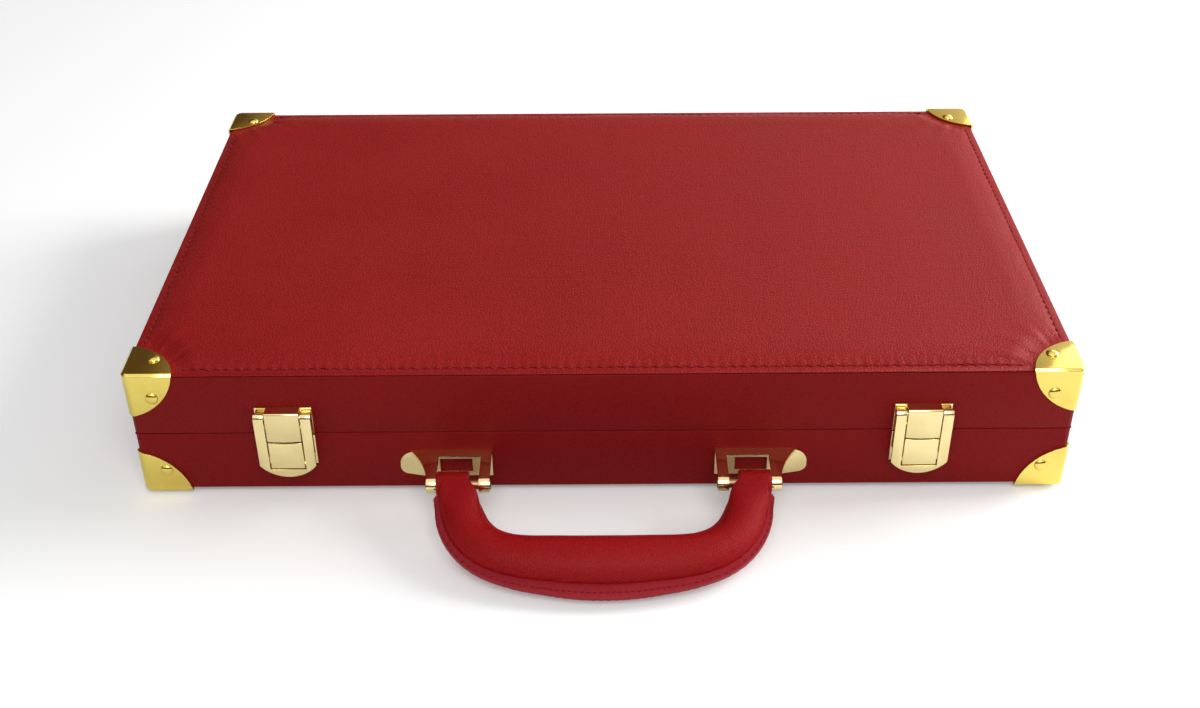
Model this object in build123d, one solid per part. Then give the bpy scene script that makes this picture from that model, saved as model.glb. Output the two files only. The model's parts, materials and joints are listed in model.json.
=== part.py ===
from build123d import *
import math
import os

# Folding backgammon set in a leatherette case, closed, standing on its padded base.
# Millimetres. X runs along the case, +Y to the hinge side, +Z up, origin on the table under the middle.
# Each half is drawn in a half frame: the seam at height 0 and the outside of the half upwards.

# Case halves
case_width = 378.0
case_depth = 236.0
half_height = 29.4
seam_gap = 0.4
corner_radius = 3.0
skin_thickness = 0.8
rail_thickness = 8.0
board_thickness = 3.0

# Padded panels, sewn round the edge
cover_thickness = 1.1
cover_edge = 0.5
flange_width = 3.8
shoulder_width = 12.0
panel_crown = 1.6
lid_swell = 0.25
pad_inset = 2.0
pad_edge = 0.4

# Brass corners
corner_sheet = 0.8
corner_seat = 0.05
flap_radius = 24.0
flap_offset = 3.2
fold_edge = 1.0
press_margin = 0.6

# Piano hinge
knuckle_radius = 2.4
hinge_standoff = 0.2
hinge_pin_radius = 1.1
hinge_length = 352.0
hinge_knuckles = 11
leaf_thickness = 0.9
leaf_margin = 0.4
knuckle_gap = 0.25
knuckle_clearance = 0.35
pin_overrun = 0.3

# Fits, and the flat sides of rolled knuckles and eyes
running_clearance = 0.05
fixed_clearance = 0.02
rolled_sides = 16

# Latches, measured from the seam and from the front leatherette
latch_inset = 61.5
latch_width = 22.8
latch_plate = 1.0
latch_standoff = 5.6
latch_top = 13.3
tab_width = 13.6
tab_fold_radius = 0.8
catch_tab_drop = 14.1
catch_plate_drop = 14.7
plate_seam_gap = 0.4
meeting_drop = 0.5
meeting_gap = 0.8
meeting_bow = 0.4
hasp_sheet = 1.1
hasp_gap = 0.5
hasp_foot_gap = 0.3
hasp_drop = 18.1
hasp_bow = 5.7
hasp_pivot_height = 10.3
hasp_barrel_radius = 2.1
hasp_pin_radius = 0.9
cheek_drop = 2.0
lip_half_width = 5.5
lip_depth = 2.0
lip_thickness = 1.0
lip_drop = 1.2

# Handle brackets, measured from the seam and from the front leatherette
bracket_sheet = 1.2
bracket_inner_x = 45.3
bracket_outer_x = 82.7
bracket_top_drop = 9.1
bracket_bottom_drop = 21.4
ear_start_x = 73.5
ear_bottom_drop = 19.6
ear_top_radius = 6.0
ear_bottom_radius = 3.6
shelf_root_x = 78.5
shelf_waist_x = 73.0
shelf_waist_reach = 9.0
arm_outer_x = 70.4
slot_inner_x = 49.6
slot_outer_x = 66.6
slot_back_reach = 4.3
window_inner_x = 53.4
window_margin = 2.2
pivot_reach = 18.0
handle_pin_radius = 2.1
handle_pin_overrun = 0.4

# Padded handle
tab_x = 59.9
knee_x = 57.2
knee_reach = 10.6
shoulder_x = 35.5
shoulder_reach = 33.8
shoulder_sag = 5.3
grip_reach = 36.3
tab_half_width = 6.2
tab_half_thickness = 4.7
tab_overlap = 1.0
loop_radius = 5.3
loop_half_width = 6.5
leg_half_width = 8.4
leg_half_thickness = 5.6
grip_half_width = 11.7
grip_half_thickness = 8.5
welt_at_leg = 1.7
welt_at_grip = 5.2
welt_thickness = 2.2
welt_start = 5.9
grip_spans = 14
grip_sides = 16
grip_rise = 3
strap_half_width = 4.5
strap_thickness = 2.4
eye_radius = 3.4
eye_half_width = 5.4
table_gap = 0.05

# Playing field and trays
field_clearance = 0.1
checker_diameter = 29.0
checker_thickness = 8.0
checker_spacing = 8.1
checker_sides = 16
checkers_a_side = 15
tray_room = 1.5
divider_thickness = 5.0
partition_thickness = 4.0
divider_below_rim = 0.5
row_room = 0.3
points_a_side = 6
point_length = 150.0
point_width_share = 0.94
point_end_gap = 1.0
point_thickness = 0.4

# Dice, doubling cube and dice cups
die_size = 13.0
die_bevel = 1.2
die_spacing = 20.0
die_rows = 2
cube_size = 20.0
cube_bevel = 1.6
loose_gap = 5.0
cup_radius = 19.0
cup_length = 72.0
cup_wall = 2.6
cup_side_gap = 6.2
cup_spacing = 60.0
cup_sides = 24

# Levels and places worked out from the sizes above
seam_z = half_height + panel_crown
rim_level = seam_gap / 2
cover_level = half_height - corner_sheet - corner_seat
board_level = cover_level - cover_thickness
board_inside = board_level - board_thickness
front_y = -case_depth / 2
core_width = case_width - 2 * skin_thickness
latch_x = case_width / 2 - latch_inset
core_depth = case_depth - 2 * skin_thickness
core_radius = corner_radius - skin_thickness
inner_width = core_width - 2 * rail_thickness
inner_depth = core_depth - 2 * rail_thickness
pillow_rise = panel_crown + corner_sheet + corner_seat
hinge_y = case_depth / 2 + hinge_standoff + knuckle_radius
leaf_inner_y = inner_depth / 2 + leaf_margin
hasp_y = front_y - latch_standoff + hasp_barrel_radius
handle_pin_z = seam_z - bracket_top_drop - bracket_sheet - handle_pin_radius - fixed_clearance
handle_pin_y = front_y - pivot_reach
knuckle_outer_radius = bracket_sheet + handle_pin_radius + fixed_clearance
field_thickness = 2.5
field_level = board_inside - field_thickness
tray_width = checker_diameter + 2 * tray_room
tray_front_y = -inner_depth / 2
tray_back_y = tray_front_y + tray_width
field_front_y = tray_back_y + divider_thickness
field_width = inner_depth / 2 - field_front_y
row_length = checkers_a_side * checker_spacing + 2 * row_room
partition_x = inner_width / 2 - row_length - partition_thickness / 2
middle_tray_x = partition_x - partition_thickness / 2


def block(x_span, y_span, z_span):
    """A rectangular block between two limits on each axis."""
    spans = (x_span, y_span, z_span)
    middle = [(low + high) / 2 for low, high in spans]
    size = [high - low for low, high in spans]
    return Pos(*middle) * Box(*size)


def slab(width, depth, radius, low, high):
    """A flat slab with rounded upright corners between two heights."""
    return Pos(0, 0, low) * extrude(RectangleRounded(width, depth, radius), amount=high - low)


def bar_along_x(radius, x_span, y, z):
    """A round bar along X."""
    middle = (x_span[0] + x_span[1]) / 2
    return Pos(middle, y, z) * Rot(0, 90, 0) * Cylinder(radius, x_span[1] - x_span[0])


def rolled_bar(radius, x_span, y, z):
    """A bar along X with many flat sides, for rolled sheet and other small repeats."""
    plane = Plane(origin=(x_span[0], y, z), z_dir=(1, 0, 0))
    return extrude(plane * RegularPolygon(radius, rolled_sides), amount=x_span[1] - x_span[0])


def front_plate(outline, y_back, thickness):
    """A sheet cut to an outline of X and Z, lying parallel to the front wall."""
    plane = Plane.XZ.offset(-y_back)
    return extrude(plane * outline, amount=thickness)


def in_lid(shape):
    """Move a shape from the half frame to the lid."""
    return Pos(0, 0, seam_z) * shape


def in_body(shape):
    """Turn a shape from the half frame over into the body."""
    return Pos(0, 0, seam_z) * mirror(shape, about=Plane.XY)


def save(node, shape):
    """Write one sub-part."""
    export_step(shape, f"parts/{node}.step")


# Wooden walls

def hinge_rebate():
    """Room for one hinge leaf, sunk into the back rim and open to the back."""
    half_length = hinge_length / 2 + knuckle_gap
    x_span = (-half_length, half_length)
    return block(x_span, (leaf_inner_y - knuckle_gap, case_depth), (-half_height, rim_level + leaf_thickness))


def long_rail(side):
    """Front or back wall of one half, with its outer ends rounded."""
    outer_y = side * core_depth / 2
    inner_y = side * inner_depth / 2
    y_span = (min(outer_y, inner_y), max(outer_y, inner_y))
    rail = block((-core_width / 2, core_width / 2), y_span, (rim_level, board_inside))
    upright = rail.edges().filter_by(Axis.Z)
    ends = upright.filter_by(lambda edge: abs(edge.center().Y - outer_y) < skin_thickness)
    return fillet(ends, core_radius)


def back_rail():
    """Back wall of one half, rebated for the hinge leaf."""
    return long_rail(1) - hinge_rebate()


def side_rails():
    """The two end walls of one half, butted between the long ones."""
    y_span = (-inner_depth / 2, inner_depth / 2)
    z_span = (rim_level, board_inside)
    right = block((inner_width / 2, core_width / 2), y_span, z_span)
    left = block((-core_width / 2, -inner_width / 2), y_span, z_span)
    return Compound([left, right])


def wall_skin():
    """Leatherette glued round the four walls, up to the edge of the panel."""
    outside = slab(case_width, case_depth, corner_radius, rim_level, board_level)
    inside = slab(core_width, core_depth, core_radius, rim_level, board_level)
    return outside - inside - hinge_rebate()


def panel_board():
    """Stiff board that closes one half."""
    return slab(core_width, core_depth, core_radius, board_inside, board_level)


# Padded panels

def arch(half_span, edge, shoulder_rise, middle_rise, floor, rounded):
    """Cross-section of the padding: steep shoulders and a nearly flat, slightly swollen middle."""
    inner = half_span - shoulder_width
    if rounded:
        right = TangentArc([(inner, shoulder_rise), (half_span, edge)], tangent=(1, 0))
        left = TangentArc([(-inner, shoulder_rise), (-half_span, edge)], tangent=(-1, 0))
    else:
        right = Line((inner, shoulder_rise), (half_span, edge))
        left = Line((-inner, shoulder_rise), (-half_span, edge))
    if middle_rise > shoulder_rise:
        top = ThreePointArc((-inner, shoulder_rise), (0, middle_rise), (inner, shoulder_rise))
    else:
        top = Line((-inner, shoulder_rise), (inner, shoulder_rise))
    sides = Polyline((half_span, edge), (half_span, floor), (-half_span, floor), (-half_span, edge))
    return make_face([left, top, right, sides])


def pillow(inset, edge, shoulder_rise, middle_rise, floor, rounded):
    """Padding crowned both ways: one arch along the case crossed with one across it."""
    half_width = case_width / 2 - inset
    half_depth = case_depth / 2 - inset
    along = Plane.YZ * arch(half_depth, edge, shoulder_rise, middle_rise, floor, rounded)
    across = Plane.XZ * arch(half_width, edge, shoulder_rise, middle_rise, floor, rounded)
    crossed = extrude(along, amount=case_width, both=True) & extrude(across, amount=case_depth, both=True)
    return Pos(0, 0, cover_level) * crossed


def corner_presses(floor):
    """The four round patches where the brass flaps press the padding flat."""
    radius = flap_radius + press_margin
    height = half_height
    posts = []
    for x_side in (-1, 1):
        for y_side in (-1, 1):
            x = x_side * (case_width / 2 + flap_offset)
            y = y_side * (case_depth / 2 + flap_offset)
            posts.append(Pos(x, y, floor + height / 2) * Cylinder(radius, height))
    return posts


def panel_pad(swell):
    """Foam between the board and the cover, cut with straight slopes."""
    top = pillow_rise - swell - cover_thickness
    foam = pillow(flange_width + pad_inset, pad_edge - cover_thickness, top, top, -cover_thickness, False)
    return foam - corner_presses(board_level - cover_thickness)


def panel_cover(swell):
    """Leatherette over the foam, pulled down to a flat sewn flange round the edge."""
    flange = slab(case_width, case_depth, corner_radius, board_level, cover_level)
    rim = flange.faces().sort_by(Axis.Z)[-1].edges()
    flange = chamfer(rim, cover_edge)
    shoulder_rise = pillow_rise - swell
    padding = pillow(flange_width, 0, shoulder_rise, pillow_rise, -cover_thickness, True)
    padding = padding - corner_presses(cover_level)
    return flange + padding - panel_pad(swell)


# Brass corners

def corner_block(outset):
    """The case corner grown outwards, with its upright edge rounded."""
    reach = flap_radius + flap_offset
    x = case_width / 2 + outset
    y = case_depth / 2 + outset
    z = cover_level + outset
    solid = block((x - reach, x), (y - reach, y), (z - reach, z))
    upright = solid.edges().filter_by(Axis.Z).sort_by(lambda edge: edge.center().X + edge.center().Y)[-1]
    return fillet(upright, corner_radius + outset)


def folded_top(solid):
    """The same corner with its two top edges and their rounded meeting taken off, as the sheet folds over."""
    top = solid.faces().sort_by(Axis.Z)[-1]
    middle = top.center()
    near = Vector(fold_edge, fold_edge, 0)
    folded = []
    for edge in top.edges():
        place = edge.center() + near
        if place.X > middle.X and place.Y > middle.Y:
            folded.append(edge)
    return chamfer(folded, fold_edge)


def brass_corner():
    """Pressed sheet over one case corner: three flaps cut to one round outline."""
    outset = corner_seat + corner_sheet
    sheet = folded_top(corner_block(outset)) - corner_block(corner_seat)
    middle = [size / 2 + outset + flap_offset for size in (case_width, case_depth)]
    for turn in (Rot(0, 0, 0), Rot(90, 0, 0), Rot(0, 90, 0)):
        sheet = sheet & Pos(*middle, half_height + flap_offset) * turn * Cylinder(flap_radius, case_depth)
    return sheet


def at_corner(shape, x_side, y_side):
    """Mirror a shape from the right back corner to another corner."""
    if x_side < 0:
        shape = mirror(shape, about=Plane.YZ)
    if y_side < 0:
        shape = mirror(shape, about=Plane.XZ)
    return shape


# Piano hinge

def knuckle_span(index):
    """Where one knuckle lies along the hinge, with half a gap left at each end."""
    pitch = hinge_length / hinge_knuckles
    start = -hinge_length / 2 + index * pitch
    return (start + knuckle_gap / 2, start + pitch - knuckle_gap / 2)


def hinge_leaf(first, bore_clearance):
    """One leaf of the piano hinge: every other knuckle is its own, and it is notched for the rest."""
    half_length = hinge_length / 2
    z_span = (rim_level, rim_level + leaf_thickness)
    leaf = block((-half_length, half_length), (leaf_inner_y, hinge_y), z_span)
    notch_y = hinge_y - knuckle_radius - knuckle_clearance
    own = []
    notches = []
    for index in range(hinge_knuckles):
        span = knuckle_span(index)
        if index % 2 == first:
            own.append(rolled_bar(knuckle_radius, span, hinge_y, 0))
        else:
            notch = (span[0] - knuckle_gap, span[1] + knuckle_gap)
            notches.append(block(notch, (notch_y, case_depth), z_span))
    bore = bar_along_x(hinge_pin_radius + bore_clearance, (-case_width, case_width), hinge_y, 0)
    return leaf - notches + own - bore


def hinge_pin():
    """Long pin through all the knuckles."""
    half_length = hinge_length / 2 + pin_overrun
    return bar_along_x(hinge_pin_radius, (-half_length, half_length), hinge_y, seam_z)


# Latches, drawn round the middle of one latch with the seam at height 0

def latch_base(low, high):
    """Flat plate riveted to the front wall."""
    return block((-latch_width / 2, latch_width / 2), (front_y - latch_plate, front_y), (low, high))


def latch_face(edge, end, bow):
    """Front of a folded tab: its free edge is bowed and its other end is the fold."""
    half = tab_width / 2
    curve = ThreePointArc((-half, edge), (0, edge - bow), (half, edge))
    sides = Polyline((half, edge), (half, end), (-half, end), (-half, edge))
    return front_plate(make_face([curve, sides]), front_y - latch_standoff + latch_plate, latch_plate)


def folded_tab(edge, end, bow):
    """Tab folded out from the wall and along the front, rounded at its outer fold."""
    inward = -1 if end > 0 else 1
    shelf_span = sorted((end, end + inward * latch_plate))
    half = tab_width / 2
    shelf = block((-half, half), (front_y - latch_standoff, front_y - latch_plate), shelf_span)
    tab = latch_face(edge, end, bow) + shelf
    corner = [
        line
        for line in tab.edges().filter_by(Axis.X)
        if abs(line.center().Z - end) < latch_plate / 2
        and abs(line.center().Y - front_y + latch_standoff) < latch_plate / 2
    ]
    return fillet(corner, tab_fold_radius)


def hasp_pivot(radius, half_length):
    """A bar on the hasp's pivot line."""
    return bar_along_x(radius, (-half_length, half_length), hasp_y, hasp_pivot_height)


def latch_keeper():
    """Lid plate of a latch: a folded tab with two cheeks that hold the hasp's pin."""
    plate = latch_base(plate_seam_gap, latch_top)
    tab = folded_tab(-meeting_drop + meeting_bow, latch_top, meeting_bow)
    cheeks = []
    for side in (-1, 1):
        x_span = sorted((side * tab_width / 2, side * (tab_width / 2 - latch_plate)))
        y_span = (front_y - latch_standoff + latch_plate, front_y - latch_plate)
        z_span = (hasp_pivot_height - cheek_drop, latch_top - latch_plate)
        cheeks.append(block(x_span, y_span, z_span))
    return plate + tab + cheeks - hasp_pivot(hasp_pin_radius + fixed_clearance, latch_width)


def latch_catch():
    """Body plate of a latch: the mirror of the keeper's tab, folded at its foot."""
    plate = latch_base(-catch_plate_drop, -plate_seam_gap)
    edge = -meeting_drop + meeting_bow - meeting_gap
    return plate + folded_tab(edge, -catch_tab_drop, meeting_bow)


def latch_hasp():
    """Shield-shaped hasp: two prongs with barrels beside the tabs, and a foot that hooks under the catch."""
    half = latch_width / 2
    foot = -(hasp_drop - hasp_bow)
    curve = ThreePointArc((-half, foot), (0, -hasp_drop), (half, foot))
    sides = Polyline((half, foot), (half, hasp_pivot_height), (-half, hasp_pivot_height), (-half, foot))
    sheet_back = front_y - latch_standoff + hasp_sheet
    plate = front_plate(make_face([curve, sides]), sheet_back, hasp_sheet)
    inner = tab_width / 2 + hasp_gap
    window = block((-inner, inner), (-case_depth, front_y), (-catch_tab_drop - hasp_foot_gap, half_height))
    barrels = [
        rolled_bar(hasp_barrel_radius, sorted((side * inner, side * half)), hasp_y, hasp_pivot_height)
        for side in (-1, 1)
    ]
    lip_low = -catch_plate_drop - lip_drop
    lip_x = (-lip_half_width, lip_half_width)
    lip = block(lip_x, (sheet_back, sheet_back + lip_depth), (lip_low, lip_low + lip_thickness))
    return plate - window + barrels + lip - hasp_pivot(hasp_pin_radius + running_clearance, latch_width)


# Handle brackets, drawn on the right with the seam at height 0

def bracket():
    """Stamped bracket: a plate on the wall, a shelf folded out of it, and two arms curled round the pin."""
    top = -bracket_top_drop
    bottom = -bracket_bottom_drop
    outline = Polyline(
        (bracket_inner_x, bottom),
        (bracket_inner_x, top),
        (bracket_outer_x, top),
        (bracket_outer_x, -ear_bottom_drop),
        (ear_start_x, bottom),
        close=True,
    )
    face = make_face(outline)
    for radius, side in ((ear_top_radius, -1), (ear_bottom_radius, 0)):
        ear = face.vertices().filter_by(lambda corner: corner.X > shelf_root_x)
        face = fillet(ear.sort_by(Axis.Y)[side], radius)
    plate = front_plate(face, front_y, bracket_sheet)
    window_z = (bottom + window_margin, top - bracket_sheet)
    plate = plate - block((window_inner_x, slot_outer_x), (-case_depth, case_depth), window_z)
    edge = ThreePointArc(
        (shelf_root_x, front_y),
        (shelf_waist_x, front_y - shelf_waist_reach),
        (arm_outer_x, handle_pin_y),
    )
    rest = Polyline(
        (arm_outer_x, handle_pin_y),
        (bracket_inner_x, handle_pin_y),
        (bracket_inner_x, front_y),
        (shelf_root_x, front_y),
    )
    shelf = Pos(0, 0, top - bracket_sheet) * extrude(make_face([edge, rest]), amount=bracket_sheet)
    axis_z = handle_pin_z - seam_z
    curls = []
    for x_span in ((bracket_inner_x, slot_inner_x), (slot_outer_x, arm_outer_x)):
        curls.append(rolled_bar(knuckle_outer_radius, x_span, handle_pin_y, axis_z))
    slot_y = (-case_depth, front_y - slot_back_reach)
    slot = block((slot_inner_x, slot_outer_x), slot_y, (bottom, top + bracket_sheet))
    bore = bar_along_x(handle_pin_radius + fixed_clearance, (0, case_width / 2), handle_pin_y, axis_z)
    return plate + (shelf - slot) + curls - bore


def bracket_pin():
    """Pin of the right bracket, pressed through both arms."""
    x_span = (bracket_inner_x - handle_pin_overrun, arm_outer_x + handle_pin_overrun)
    return bar_along_x(handle_pin_radius, x_span, handle_pin_y, handle_pin_z)


# Padded handle, drawn flat with its pins on the X axis and the grip towards -Y

def rest_tilt():
    """Downward tilt, in degrees, at which the underside of the grip meets the table."""
    low, high = 0.0, 45.0
    for _ in range(40):
        middle = (low + high) / 2
        angle = math.radians(middle)
        depth = math.hypot(grip_half_width * math.sin(angle), grip_half_thickness * math.cos(angle))
        underside = handle_pin_z - grip_reach * math.sin(angle) - depth
        if underside > table_gap:
            low = middle
        else:
            high = middle
    return low


def handle_path():
    """Middle line of the handle from the left tab round to the right one."""
    middle = ((knee_x + shoulder_x) / 2, -(knee_reach + shoulder_reach) / 2)
    run = math.dist((knee_x, knee_reach), (shoulder_x, shoulder_reach))
    out = ((shoulder_reach - knee_reach) / run, -(knee_x - shoulder_x) / run)
    bulge = (middle[0] + out[0] * shoulder_sag, middle[1] + out[1] * shoulder_sag)
    tab, knee = (tab_x, tab_overlap), (knee_x, -knee_reach)
    shoulder = (shoulder_x, -shoulder_reach)
    left = [(-x, y) for x, y in (tab, knee, bulge, shoulder)]
    edges = [
        Line(left[0], left[1]),
        ThreePointArc(left[1], left[2], left[3]),
        ThreePointArc(left[3], (0, -grip_reach), shoulder),
        ThreePointArc(shoulder, bulge, knee),
        Line(knee, tab),
    ]
    return Wire(edges)


def stations():
    """Place, direction, and fullness of leg and grip (0 to 1) at even steps from tab to tab."""
    path = handle_path()
    for step in range(grip_spans + 1):
        share = step / grip_spans
        leg = 0 if step in (0, grip_spans) else 1
        yield path.position_at(share), path.tangent_at(share), leg, math.sin(math.pi * share) ** grip_rise


def filled(at_tab, at_leg, at_grip, leg, grip):
    """A size that grows from the tab to the leg within one step, and then slowly to the grip."""
    return at_tab + (at_leg - at_tab) * leg + (at_grip - at_leg) * grip


def tube_half_width(leg, grip):
    """Half the width of the stuffed tube."""
    return filled(tab_half_width, leg_half_width, grip_half_width, leg, grip)


def welt_reach(leg, grip):
    """How far the welt reaches from the middle line."""
    return tube_half_width(leg, grip) + filled(0, welt_at_leg, welt_at_grip, leg, grip)


def arc_chain(points):
    """Arcs run through every point, two spans to an arc."""
    return [ThreePointArc(*points[start:start + 3]) for start in range(0, len(points) - 1, 2)]


def beside_path(distance):
    """Points beside the middle line, at a distance to its outside that leg and grip give."""
    points = []
    for spot, heading, leg, grip in stations():
        points.append(spot + Vector(heading.Y, -heading.X, 0) * distance(leg, grip))
    return points


def band(near, far, thickness):
    """A flat band between two rows of edges that run along the handle."""
    ends = [Line(near[-1] @ 1, far[-1] @ 1), Line(far[0] @ 0, near[0] @ 0)]
    return Pos(0, 0, -thickness / 2) * extrude(make_face(near + far + ends), amount=thickness)


def padded_tube():
    """The stuffed grip: oval sections of flat sides that fill out from the tabs to the middle."""
    sections = []
    for spot, heading, leg, grip in stations():
        half_width = tube_half_width(leg, grip)
        half_thickness = filled(tab_half_thickness, leg_half_thickness, grip_half_thickness, leg, grip)
        plane = Plane(origin=spot, x_dir=Vector(heading.Y, -heading.X, 0), z_dir=heading)
        corners = []
        for side in range(grip_sides):
            angle = math.tau * (side + 0.5) / grip_sides
            corners.append((half_width * math.cos(angle), half_thickness * math.sin(angle)))
        sections.append(plane * make_face(Polyline(*corners, close=True)))
    return loft(sections, ruled=True)


def tab_bars(radius, half_width):
    """A rolled bar on the pin line at each tab."""
    return [rolled_bar(radius, (x - half_width, x + half_width), 0, 0) for x in (-tab_x, tab_x)]


def pin_bore():
    """Round bore on the pin line, through both tabs."""
    return bar_along_x(handle_pin_radius + running_clearance, (-case_width, case_width), 0, 0)


def handle_strap():
    """Steel strap inside the grip, with an eye at each end for the pin."""
    near = Polyline(*beside_path(lambda leg, grip: -strap_half_width))
    far = Polyline(*beside_path(lambda leg, grip: strap_half_width))
    strap = band([near], [far], strap_thickness)
    eyes = tab_bars(eye_radius, eye_half_width)
    return strap + eyes - pin_bore()


def handle_cover():
    """Stuffed leatherette handle with a sewn welt round its outside, looped over the eyes of the strap."""
    middle = arc_chain(beside_path(lambda leg, grip: 0))
    edge = arc_chain(beside_path(welt_reach))
    welt = band(middle, edge, welt_thickness)
    near_pins = (-welt_start, case_depth)
    welt = welt - block((-case_width, case_width), near_pins, (-welt_thickness, welt_thickness))
    loops = tab_bars(loop_radius, loop_half_width)
    bored = padded_tube() + loops - pin_bore()
    return bored + welt - handle_strap()


def at_handle(shape):
    """Hang a handle piece on its pins, tilted down to the table."""
    return Pos(0, handle_pin_y, handle_pin_z) * Rot(rest_tilt(), 0, 0) * shape


# Playing field and trays

def field_board():
    """Covered board on the floor of one half."""
    width = inner_width - 2 * field_clearance
    depth = inner_depth - 2 * field_clearance
    return slab(width, depth, core_radius, field_level, board_inside)


def tray_divider():
    """Bar between the playing field and the tray along the front."""
    half = inner_width / 2 - field_clearance
    return block((-half, half), (tray_back_y, field_front_y), (rim_level + divider_below_rim, field_level))


def tray_partitions():
    """Two short walls that split the tray in three."""
    walls = []
    for side in (-1, 1):
        x_span = (side * partition_x - partition_thickness / 2, side * partition_x + partition_thickness / 2)
        y_span = (tray_front_y + field_clearance, tray_back_y)
        walls.append(block(x_span, y_span, (rim_level + divider_below_rim, field_level)))
    return Compound(walls)


def playing_points(colour):
    """Six of the twelve points of one half, every other one: 0 for the light colour and 1 for the dark."""
    pitch = field_width / points_a_side
    points = []
    for side in (-1, 1):
        base_x = side * (inner_width / 2 - point_end_gap)
        tip_x = base_x - side * point_length
        for index in range(points_a_side):
            if (index + (side > 0)) % 2 != colour:
                continue
            y = field_front_y + (index + 0.5) * pitch
            half = pitch * point_width_share / 2
            outline = Polyline((base_x, y - half), (tip_x, y), (base_x, y + half), close=True)
            flat = Pos(0, 0, field_level - point_thickness) * make_face(outline)
            points.append(extrude(flat, amount=point_thickness))
    return Compound(points)


# Loose pieces, stored in the body

def checker_row(side):
    """Fifteen checkers standing on edge in one end of the body's tray."""
    field_z = seam_z - field_level
    y = (tray_front_y + tray_back_y) / 2
    start = inner_width / 2 - row_room - checkers_a_side * checker_spacing
    row = []
    for index in range(checkers_a_side):
        low = start + index * checker_spacing
        plane = Plane(origin=(side * low, y, field_z + checker_diameter / 2), z_dir=(side, 0, 0))
        outline = RegularPolygon(checker_diameter / 2, checker_sides)
        row.append(extrude(plane * outline, amount=checker_thickness))
    return Compound(row)


def bevelled_cube(size, bevel, x, y):
    """A cube with bevelled edges standing on the floor of the tray."""
    cube = Box(size, size, size)
    cube = chamfer(cube.edges(), bevel)
    return Pos(x, y, seam_z - field_level + size / 2) * cube


def dice():
    """Two pairs of dice in the middle of the tray."""
    middle = (tray_front_y + tray_back_y) / 2
    row_gap = tray_width - 2 * tray_room - die_size
    column_x = loose_gap + (die_spacing + die_size) / 2 - middle_tray_x
    pieces = []
    for column in (-1, 1):
        for row in range(die_rows):
            x = column_x + column * die_spacing / 2
            y = middle + (row - 0.5) * row_gap
            pieces.append(bevelled_cube(die_size, die_bevel, x, y))
    return Compound(pieces)


def doubling_cube():
    """Larger cube beside the dice."""
    x = middle_tray_x - loose_gap - cube_size / 2
    return bevelled_cube(cube_size, cube_bevel, x, (tray_front_y + tray_back_y) / 2)


def dice_cup(y):
    """Round cup lying on the points, open to the middle of the case."""
    z = seam_z - field_level + point_thickness + cup_radius
    high = inner_width / 2 - cup_side_gap
    mouth = Plane(origin=(high - cup_length, y, z), z_dir=(1, 0, 0))
    outside = extrude(mouth * RegularPolygon(cup_radius, cup_sides), amount=cup_length)
    hollow = extrude(mouth * RegularPolygon(cup_radius - cup_wall, cup_sides), amount=cup_length - cup_wall)
    return outside - hollow


def dice_cups():
    """The two cups side by side."""
    middle = (field_front_y + inner_depth / 2) / 2
    return Compound([dice_cup(middle - cup_spacing / 2), dice_cup(middle + cup_spacing / 2)])


os.makedirs("parts", exist_ok=True)

for half, place, swell in (("body", in_body, 0.0), ("lid", in_lid, lid_swell)):
    save(f"{half}_front_rail", place(long_rail(-1)))
    save(f"{half}_back_rail", place(back_rail()))
    save(f"{half}_side_rails", place(side_rails()))
    save(f"{half}_wall_skin", place(wall_skin()))
    save(f"{half}_panel_board", place(panel_board()))
    save(f"{half}_panel_pad", place(panel_pad(swell)))
    save(f"{half}_panel_cover", place(panel_cover(swell)))
    save(f"{half}_field_board", place(field_board()))
    save(f"{half}_points_light", place(playing_points(0)))
    save(f"{half}_points_dark", place(playing_points(1)))
    save(f"{half}_tray_divider", place(tray_divider()))
    save(f"{half}_tray_partitions", place(tray_partitions()))
    corners = [at_corner(brass_corner(), x_side, y_side) for x_side in (-1, 1) for y_side in (-1, 1)]
    save(f"{half}_corners", place(Compound(corners)))

save("hinge_leaf_body", in_body(hinge_leaf(0, fixed_clearance)))
save("hinge_leaf_lid", in_lid(hinge_leaf(1, running_clearance)))
save("hinge_pin", hinge_pin())

left_latch = Pos(-latch_x, 0, seam_z)
right_latch = Pos(latch_x, 0, seam_z)
save("latch_keepers", Compound([left_latch * latch_keeper(), right_latch * latch_keeper()]))
save("latch_catches", Compound([left_latch * latch_catch(), right_latch * latch_catch()]))
pin = hasp_pivot(hasp_pin_radius, latch_width / 2)
save("latch_pins", Compound([left_latch * pin, right_latch * pin]))
save("latch_hasp_left", left_latch * latch_hasp())
save("latch_hasp_right", right_latch * latch_hasp())

right_bracket = Pos(0, 0, seam_z) * bracket()
save("handle_brackets", Compound([right_bracket, mirror(right_bracket, about=Plane.YZ)]))
save("handle_pins", Compound([bracket_pin(), mirror(bracket_pin(), about=Plane.YZ)]))
save("handle_cover", at_handle(handle_cover()))
save("handle_strap", at_handle(handle_strap()))

save("checkers_light", checker_row(-1))
save("checkers_dark", checker_row(1))
save("dice", dice())
save("doubling_cube", doubling_cube())
save("dice_cups", dice_cups())
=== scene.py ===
import bpy
import json
import math
from mathutils import Euler, Matrix, Vector

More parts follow.
